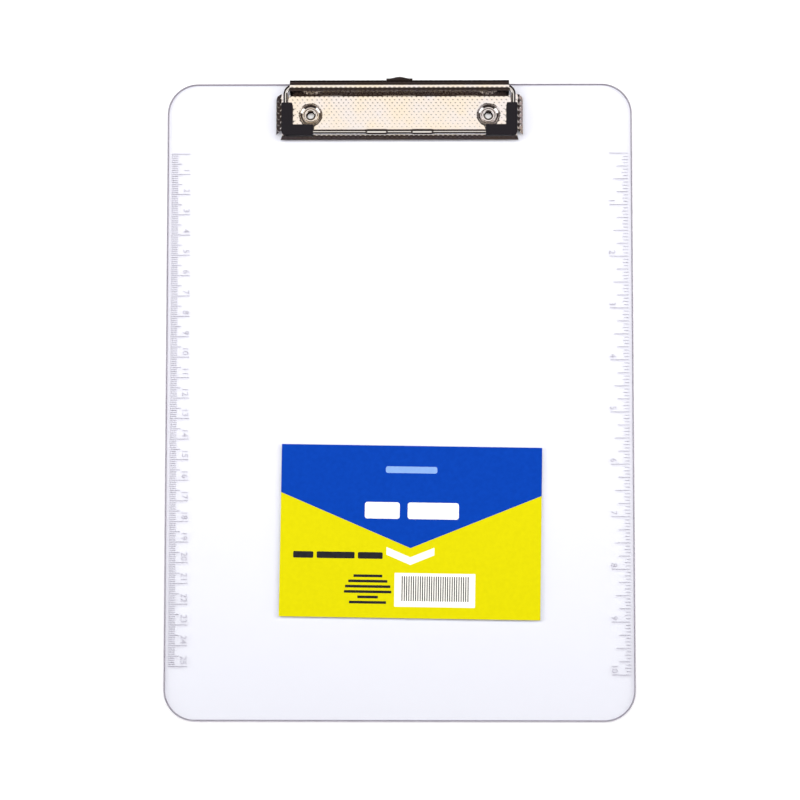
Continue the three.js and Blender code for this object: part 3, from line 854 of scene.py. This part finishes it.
print(len(triangles), "triangles in each skin")

# %% [markdown]
# Each point of the net is lifted twice, once to the upper skin and once to the lower. Where the sheet
# leans, both its thickness and its dots are stretched upwards, so that they stay true across it.

# %% Base plate skins
HOLLOW_SHARE = 0.6
THINNEST = 0.2
x, y = net_points[:, 0], net_points[:, 1]
plain = deck_height(x, y)
nudge = 0.02
slope_x = (deck_height(x + nudge, y) - deck_height(x - nudge, y)) / (2 * nudge)
slope_y = (deck_height(x, y + nudge) - deck_height(x, y - nudge)) / (2 * nudge)
rise = dots(x, y - TOP_EDGE)
for centre in RIVETS:
    away = np.hypot(x - centre[0], y - centre[1])
    rise *= np.clip((away - DIMPLE - 0.1) / 0.3, 0, 1)
lean = np.sqrt(1 + slope_x**2 + slope_y**2)
rise *= lean * np.interp(lean, (1.02, 1.25), (DECK_DOTS, FOLDED_DOTS))
upper = plain + rise
lower = np.maximum(plain - SHEET * lean, BOARD_TOP + HAIR_GAP) + HOLLOW_SHARE * rise
lower = np.minimum(lower, upper - THINNEST)
used = np.unique(triangles)
renumber = -np.ones(len(net_points), int)
renumber[used] = np.arange(len(used))
triangles = renumber[triangles]
skin = len(used)
plate_points = [(x[i], y[i], upper[i]) for i in used] + [(x[i], y[i], lower[i]) for i in used]
directed = {(int(t[i]), int(t[(i + 1) % 3])) for t in triangles for i in range(3)}
wall = [[a + skin, b + skin, b, a] for a, b in directed if (b, a) not in directed]
wall.sort()
plate_faces = [list(map(int, t)) for t in triangles]
plate_faces += [[int(i) + skin for i in t[::-1]] for t in triangles] + wall
pressed_plate = (plate_points, plate_faces, 0)
print(len(wall), "faces in the cut edges")

# %% [markdown]
# ## The hinge knuckles
#
# Three straps run back from the deck, under the lever, and curl round the wire. A strap is a sheet
# bent along a path: straight up a gentle ramp, then most of a circle.

# %% Hinge knuckles
WIRE = 1.2
KNUCKLE_BORE = 1.3
KNUCKLE_SPANS = ((-38, -28), (-8, 8), (28, 38))
CURL_START, CURL_END = -90, 160
DECK_OVERLAP = 0.4


def knuckle_path():
    """The inner side of a strap and its curl in Y and Z, with normals towards the wire."""
    ramp_start = np.array([DECK_REAR - DECK_OVERLAP, DECK_TOP])
    ramp_end = PIVOT[1:] + (0.0, -KNUCKLE_BORE)
    ramp = [ramp_start + (ramp_end - ramp_start) * t for t in np.linspace(0, 1, 7)[:-1]]
    along = (ramp_end - ramp_start) / np.linalg.norm(ramp_end - ramp_start)
    ramp_normal = [(-along[1], along[0])] * len(ramp)
    curl = arc(PIVOT[1:], KNUCKLE_BORE, CURL_START, CURL_END, 40)
    curl_normal = [(-(py - PIVOT[1]) / KNUCKLE_BORE, -(pz - PIVOT[2]) / KNUCKLE_BORE) for py, pz in curl]
    return [*map(tuple, ramp), *curl], ramp_normal + curl_normal


path, normals = knuckle_path()
straps = [bent_sheet(path, normals, np.linspace(left, right, 21)) for left, right in KNUCKLE_SPANS]
plate_shapes = [pressed_plate, *straps]
make_object(
    "pressed_base_plate", plate_shapes, [embossed_nickel], "board_body", ["base_plate"]
)

# %% [markdown]
# ## The eyelets
#
# A hollow rivet is a drawn tube. Its head is rolled outwards like the rim of a cup, and its other end
# was curled over in the board's counterbore. A round piece is a profile turned about its axis.

# %% Eyelets
HEAD_SEAT = BOARD_TOP + SHEET + 0.03
EYELET_TUBE = 2.05
EYELET_BORE = 1.65
HEAD_OUT = 3.65


def eyelet_profile():
    """Radius and height all round the section: head, funnel, tube, rolled foot and neck."""
    roll = np.radians(range(0, 151, 10))
    head = [(HEAD_OUT - 0.9 + 0.9 * math.cos(a), HEAD_SEAT + 0.22 + 0.55 * math.sin(a)) for a in roll]
    funnel = [(EYELET_BORE + 0.1, HEAD_SEAT + 0.1), (EYELET_BORE, HEAD_SEAT - 0.35)]
    foot_top = COUNTERBORE_DEPTH - 0.12
    foot = [(EYELET_BORE, foot_top - 0.2), (EYELET_BORE + 0.25, 0.35), (EYELET_BORE + 0.8, 0.12)]
    under = np.radians(range(-90, 91, 15))
    rolled = [(3.05 + 0.5 * math.cos(a), 0.6 + 0.46 * math.sin(a)) for a in under]
    neck = [(EYELET_TUBE, foot_top), (EYELET_TUBE, HEAD_SEAT)]
    return (head + funnel + foot + rolled + neck)[::-1]


for side, centre in zip(("left", "right"), RIVETS):
    name, node = f"hollow_eyelet_{side}", f"eyelet_{side}"
    ring = turned(eyelet_profile(), *centre)
    make_object(name, [ring], [eyelet_nickel], "board_body", [node])

# %% [markdown]
# ## The lever
#
# A barrel pressed from the same dotted strip, open below. Its section is a short skirt behind, most of
# half a circle over the top, and a straight sloping skirt down in front. The round top mirrors the
# overhead lamp as one bright line, and the skirts mirror the dim room, so they look almost black.

# %% Lever barrel
_, lever_high = box_mm("lever")
LEVER_HALF = lever_high[0]
LEVER_RADIUS = lever_high[2] - PIVOT[2]
FRONT_ANGLE = 154.6
FRONT_SKIRT = 3.14
REAR_SKIRT = 1.2
BARREL_DOTS = 0.6


def lever_path():
    """The outer side of the barrel in Y and Z, from the rear skirt over the top, with its normals."""
    top = arc((0, 0), LEVER_RADIUS, 0, FRONT_ANGLE, 32)
    points = [(LEVER_RADIUS, -REAR_SKIRT * t) for t in np.linspace(1, 0, 5)[:-1]] + top
    normals = [(1, 0)] * 4 + [(y / LEVER_RADIUS, z / LEVER_RADIUS) for y, z in top]
    a = math.radians(FRONT_ANGLE)
    for t in np.linspace(0, 1, 11)[1:]:
        run = FRONT_SKIRT * t
        points.append((top[-1][0] - run * math.sin(a), top[-1][1] + run * math.cos(a)))
        normals.append((math.cos(a), math.sin(a)))
    return [(PIVOT[1] + y, PIVOT[2] + z) for y, z in points], normals


barrel_steps = round(2 * LEVER_HALF / STEP)
path, normals = lever_path()
barrel_xs = np.linspace(-LEVER_HALF, LEVER_HALF, barrel_steps + 1)[::-1]
barrel = bent_sheet(path, normals, barrel_xs, embossed=BARREL_DOTS)
print("barrel radius", LEVER_RADIUS, "mm")

# %% [markdown]
# At the middle of the rear skirt the sheet turns out into a lug for the thumb, with a low crown in its
# rear edge, sloping a little towards the board. Near each end a tongue of the sheet is folded in and
# crimped round the wire, which is what makes lever and wire turn as one.

# %% Thumb lug and tongues
LUG_HALF = 6.4
LUG_CROWN = 0.9
LUG_CROWN_HALF = 5.2
LUG_SLOPE = 0.35
LUG_EASE = 0.15


def thumb_lug():
    places = np.linspace(LUG_HALF, -LUG_HALF, 25)
    crown = LUG_CROWN * (0.5 + 0.5 * np.cos(math.pi * np.clip(places / LUG_CROWN_HALF, -1, 1)))
    rear = list(zip(places, lever_high[1] - LUG_CROWN + crown))
    start = PIVOT[1] + LEVER_RADIUS - SHEET / 2
    outline = [(-LUG_HALF, start), (LUG_HALF, start), *rear]
    top = PIVOT[2] - REAR_SKIRT + SHEET / 2
    points, faces, slot = stack(outline, shoulders(top - SHEET, top, LUG_EASE, 2))
    sloped = [(px, py, pz - LUG_SLOPE * (py - start)) for px, py, pz in points]
    return sloped, faces, slot


TONGUE_SPANS = ((-50, -42), (42, 50))


def tongue_path():
    """From the rear skirt forwards, then round under the wire."""
    start = PIVOT[1:] + (LEVER_RADIUS - SHEET / 2, -REAR_SKIRT + SHEET)
    web_end = PIVOT[1:] + (KNUCKLE_BORE + 0.15, -0.6)
    web = [start + (web_end - start) * t for t in np.linspace(0, 1, 4)[:-1]]
    curl = arc(PIVOT[1:], KNUCKLE_BORE, -20, -150, 20)
    curl_normal = [(-(y - PIVOT[1]) / KNUCKLE_BORE, -(z - PIVOT[2]) / KNUCKLE_BORE) for y, z in curl]
    return [*map(tuple, web), *curl], [(0.0, 1.0)] * 3 + curl_normal


path, normals = tongue_path()
tongues = [bent_sheet(path, normals, np.linspace(right, left, 17)) for left, right in TONGUE_SPANS]
lever_shapes = [barrel, thumb_lug(), *tongues]
make_object("pressed_lever", lever_shapes, [embossed_nickel], "jaw", ["lever"])

# %% [markdown]
# ## The wire frame
#
# One length of wire, bent at four corners so that its ends meet inside the middle knuckle. A ring of
# points is carried along the route. Either side of the middle of the front bar a press has flattened
# the wire, so the ring is squashed there, with a short run-out at each end of the two flats.

# %% Wire frame
wire_low, wire_high = box_mm("wire_jaw")
LEG = wire_high[0] - WIRE
FRONT_BAR = wire_low[1] + WIRE
REAR_BEND = 4.0
FRONT_BEND = 3.5
FLAT_HALF = 15.2
RUN_OUT = 2.0
CENTRE_HALF = 5.6
WIRE_SMOOTH_BELOW = 50


def swept(route, sides, size_at):
    """A closed tube along a route. size_at gives the half width and half height at each place."""
    route = np.array(route, float)
    ahead = np.gradient(route, axis=0)
    ahead /= np.linalg.norm(ahead, axis=1, keepdims=True)
    sideways = np.cross(ahead[0], (0, 0, 1.0) if abs(ahead[0][2]) < 0.9 else (1.0, 0, 0))
    points = []
    for place, way in zip(route, ahead):
        sideways = sideways - way * np.dot(sideways, way)
        sideways /= np.linalg.norm(sideways)
        upward = np.cross(sideways, way)
        wide, high = size_at(place)
        for k in range(sides):
            a = 2 * math.pi * k / sides
            points.append(place + sideways * wide * math.cos(a) + upward * high * math.sin(a))
    faces = grid_faces(len(route), sides, closed_columns=True)
    last = (len(route) - 1) * sides
    faces += [list(range(sides))[::-1], [last + k for k in range(sides)]]
    return points, [face[::-1] for face in faces], 0


def wire_size(place):
    """Round wire, flattened in the middle of the front bar."""
    if place[1] > FRONT_BAR + 1:
        return WIRE, WIRE
    press = np.clip((FLAT_HALF + RUN_OUT - abs(place[0])) / RUN_OUT, 0, 1)
    press = press * press * (3 - 2 * press)
    press *= 1 - 0.8 * np.clip(CENTRE_HALF + 1 - abs(place[0]), 0, 1)
    return WIRE * (1 + 0.18 * press), WIRE * (1 - 0.3 * press)


def straight(a, b, step):
    """The points between two ends of a straight stretch, without the ends."""
    pieces = max(1, round(math.dist(a, b) / step))
    points = []
    for i in range(1, pieces):
        points.append((a[0] + (b[0] - a[0]) * i / pieces, a[1] + (b[1] - a[1]) * i / pieces))
    return points


rear_bend = arc((LEG - REAR_BEND, PIVOT[1] - REAR_BEND), REAR_BEND, 90, 0, 16)
front_bend = arc((LEG - FRONT_BEND, FRONT_BAR + FRONT_BEND), FRONT_BEND, 0, -90, 16)
half_route = [
    (0.15, PIVOT[1]),
    *straight((0.15, PIVOT[1]), rear_bend[0], 5),
    *rear_bend,
    *straight(rear_bend[-1], front_bend[0], 2),
    *front_bend,
    *straight(front_bend[-1], (FLAT_HALF + RUN_OUT, FRONT_BAR), 5),
    *[(x, FRONT_BAR) for x in np.linspace(FLAT_HALF + RUN_OUT, FLAT_HALF, 7)],
    *[(x, FRONT_BAR) for x in (11.0, 6.8, 6.4, 6.0, 5.6, 3.0, 0.0)],
]
route = [(x, y, PIVOT[2]) for x, y in half_route + [(-x, y) for x, y in half_route[-2::-1]]]
frame_wire = swept(route, 28, wire_size)
make_object(
    "wire_frame", [frame_wire], [chrome_wire], "jaw", ["wire_jaw"], WIRE_SMOOTH_BELOW
)

# %% [markdown]
# ## The corner grips
#
# A moulded L of rubber over each front corner keeps the wire from marking paper. The outline has a
# round outer corner and a tight inner one, and every edge is softened as moulded rubber is.

# %% Corner grips
GRIP_WIDE = 5.3
GRIP_INNER = 0.6
GRIP_OUTER = 2.4
GRIP_TIP = 0.5
GRIP_EASE = 0.3


def grip_outline(low, high):
    """The right-hand grip, anticlockwise, from its box. The leg runs to the rear, the foot inwards."""
    x0, y0, x1, y1 = low[0], low[1], high[0], high[1]
    return [
        (x0, y0),
        *arc((x1 - GRIP_OUTER, y0 + GRIP_OUTER), GRIP_OUTER, -90, 0, 8),
        (x1, y1 - 0.6),
        *arc((x1 - GRIP_TIP, y1 - GRIP_TIP), GRIP_TIP, 0, 90, 3),
        *arc((x1 - GRIP_WIDE + GRIP_TIP, y1 - GRIP_TIP), GRIP_TIP, 90, 180, 3),
        *arc((x1 - GRIP_WIDE - GRIP_INNER, y0 + GRIP_WIDE + GRIP_INNER), GRIP_INNER, 0, -90, 4),
        (x0, y0 + GRIP_WIDE),
    ]


for side in ("left", "right"):
    low, high = box_mm(f"corner_grip_{side}")
    if side == "right":
        loop = grip_outline(low, high)
    else:
        loop = [(-px, py) for px, py in grip_outline((-high[0], low[1]), (-low[0], high[1]))][::-1]
    grip = stack(loop, shoulders(low[2], high[2], GRIP_EASE, 4))
    name, node = f"rubber_grip_{side}", f"corner_grip_{side}"
    make_object(name, [grip], [black_rubber], "jaw", [node], flats=True)

# %% [markdown]
# ## The torsion springs
#
# Each spring is a coil round the crossbar. Its foot reaches forward under the deck and its tail pushes
# up inside the lever. It is drawn in place and carried by neither the board nor the jaw.

# %% Torsion springs
SPRING_WIRE = 0.35
SPRING_RADIUS = 1.8
SPRING_PITCH = 0.82
SPRING_TURNS = 7.25
SPRING_START = 14.0
PER_TURN = 28
FOOT_REACH = 7.5
FOOT_LENGTH = 3.6
FOOT_DROP = 3.25


def spring_route(side):
    """Foot, ramp, coil and tail of one spring. side is 1 on the right and -1 on the left."""
    turns = np.arange(round(SPRING_TURNS * PER_TURN) + 1) / PER_TURN
    angle = 2 * math.pi * turns - math.pi / 2
    foot = [(SPRING_START, -FOOT_REACH + t, -FOOT_DROP) for t in np.linspace(0, FOOT_LENGTH, 6)]
    across = SPRING_START + SPRING_PITCH * turns
    coil = list(zip(across, SPRING_RADIUS * np.cos(angle), SPRING_RADIUS * np.sin(angle)))
    ramp = [tuple(np.array(foot[-1]) * (1 - t) + np.array(coil[0]) * t) for t in (0.2, 0.4, 0.6, 0.8)]
    tail = [(coil[-1][0], SPRING_RADIUS, t) for t in (0.4, 0.7, 1.0)]
    return [(side * px, PIVOT[1] + py, PIVOT[2] + pz) for px, py, pz in foot + ramp + coil + tail]


for side_name, side in (("left", -1), ("right", 1)):
    name, node = f"coil_spring_{side_name}", f"torsion_spring_{side_name}"
    coil = swept(spring_route(side), 12, lambda place: (SPRING_WIRE, SPRING_WIRE))
    spring = make_object(name, [coil], [spring_wire], None, [node])
    start = Vector((side * (SPRING_START + 0.5), PIVOT[1], PIVOT[2])) * MM
    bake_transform(spring)

# %% [markdown]
# ## The table
#
# A plain pale table top, just under the board. A faint unevenness keeps it from being one flat tone.
# The metal does not mirror it, so the lever's rear stays dark, as it would over a small table.

# %% Table
TABLE_HALF = 3000
TABLE_LEVELS = [(-20, 0), (-0.1, 0)]
CLOUD_PER_METRE = 3.0


def pale_table():
    material, tree, shader, place, _ = start_material("pale table", {"Roughness": 0.9})
    cloud = add_node(tree, NOISE, {"Scale": CLOUD_PER_METRE, "Detail": 2}, {0: place}).outputs[0]
    ends = {FIRST_COLOUR: linear("#f4f4f5"), SECOND_COLOUR: linear("#f7f7f7")}
    colour = add_node(tree, BLEND, ends, {FACTOR: cloud}, data_type="RGBA")
    tree.links.new(colour.outputs[BLENDED], shader.inputs["Base Color"])
    return material


def rectangle(half, front, rear):
    return [(-half, front), (half, front), (half, rear), (-half, rear)]


table_shape = stack(rectangle(TABLE_HALF, -TABLE_HALF, TABLE_HALF), TABLE_LEVELS)
table = make_object("table", [table_shape], [pale_table()], None)
table.visible_glossy = False

# %% [markdown]
# ## The light
#
# Polished metal shows the room, so the room is planned: one broad soft lamp overhead, where the flat
# deck mirrors it, soft lamps low at the two front corners and the right for the slopes, and a dim
# brown room for the rest. A plain fill lamp that metal does not mirror brightens the table. A lamp's
# strength is given as the brightness of its face, and turned into the watts that Blender wants.

# %% World and lamps
# The room's shade at each height, from the horizon at 0 to straight above at 1.
ROOM_SHADES = [(0.0, "#1a1616"), (0.12, "#453d3d"), (0.3, "#554d4e"), (0.5, "#342d2c"), (1.0, "#443d3b")]
CLIP = (0, 0.14, 0.005)
world = bpy.data.worlds.new("dim room")
world.use_nodes = True
bpy.context.scene.world = world
room = world.node_tree
background = room.nodes["Background"]
direction = add_node(room, "ShaderNodeTexCoord").outputs["Generated"]
height = add_node(room, "ShaderNodeSeparateXYZ", sources={0: direction}).outputs["Z"]
walls = add_node(room, "ShaderNodeValToRGB", sources={0: height})
shades = walls.color_ramp.elements
while len(shades) < len(ROOM_SHADES):
    shades.new(0.5)
for shade, (position, colour) in zip(shades, ROOM_SHADES):
    shade.position = position
    shade.color = linear(colour)
room.links.new(walls.outputs[0], background.inputs["Color"])


def lamp(name, place, towards, size, strength, colour="#ffffff", mirrored=True):
    data = bpy.data.lights.new(name, "AREA")
    data.shape = "RECTANGLE"
    data.size, data.size_y = size
    data.color = linear(colour)[:3]
    radiance_to_watts = math.pi * size[0] * size[1]
    data.energy = strength * radiance_to_watts
    obj = bpy.data.objects.new(name, data)
    obj.location = place
    obj.rotation_euler = (Vector(towards) - Vector(place)).to_track_quat("-Z", "Y").to_euler()
    obj.visible_glossy = mirrored
    obj.visible_transmission = mirrored
    bpy.context.scene.collection.objects.link(obj)


def around(azimuth, elevation, distance):
    """A place seen from the clip in a given direction, in degrees. Azimuth 0 is to the right."""
    a, e = math.radians(azimuth), math.radians(elevation)
    flat = distance * math.cos(e)
    return (flat * math.cos(a), CLIP[1] + flat * math.sin(a), distance * math.sin(e))


lamp("right card", around(10, 8, 0.9), CLIP, (0.36, 0.18), 0.48, "#fff0ee")
lamp("front right card", around(-18, 33, 0.9), CLIP, (0.5, 0.66), 1.7)
lamp("front left card", around(198, 33, 0.9), CLIP, (0.5, 0.66), 1.7)
lamp("table fill", (0, 0.25, 1.15), (0, 0.25, 0), (2.4, 0.5), 6.4, mirrored=False)
print(len(bpy.data.lights), "lamps")

# %% [markdown]
# The overhead softbox is a sheet of cloth that glows evenly at the back and fades towards the front.
# The fade keeps the bright line on the lever narrow, and lets the foot of the board turn faintly grey.

# %% Overhead softbox
SOFTBOX_FRONT, SOFTBOX_REAR, SOFTBOX_HALF, SOFTBOX_HEIGHT = -310, 500, 375, 1050
FADE_END = -20
DIM, BRIGHT = 0.25, 1.25


def glowing_cloth():
    material = bpy.data.materials.new("glowing cloth")
    material.use_nodes = True
    tree = material.node_tree
    tree.nodes.clear()
    place = add_node(tree, "ShaderNodeTexCoord").outputs["Object"]
    depth = add_node(tree, "ShaderNodeSeparateXYZ", sources={0: place}).outputs["Y"]
    fade = {"From Min": SOFTBOX_FRONT * MM, "From Max": FADE_END * MM, "To Min": DIM, "To Max": BRIGHT}
    glow = add_node(tree, SPREAD, fade, {"Value": depth}).outputs[0]
    light = add_node(tree, "ShaderNodeEmission", {0: linear("#fffaf4")}, {1: glow})
    add_node(tree, "ShaderNodeOutputMaterial", sources={"Surface": light.outputs[0]})
    return material


cloth_levels = [(SOFTBOX_HEIGHT, 0), (SOFTBOX_HEIGHT + 1, 0)]
cloth = stack(rectangle(SOFTBOX_HALF, SOFTBOX_FRONT, SOFTBOX_REAR), cloth_levels)
softbox = make_object("overhead_softbox", [cloth], [glowing_cloth()], None)
softbox.visible_camera = False
softbox.visible_shadow = False
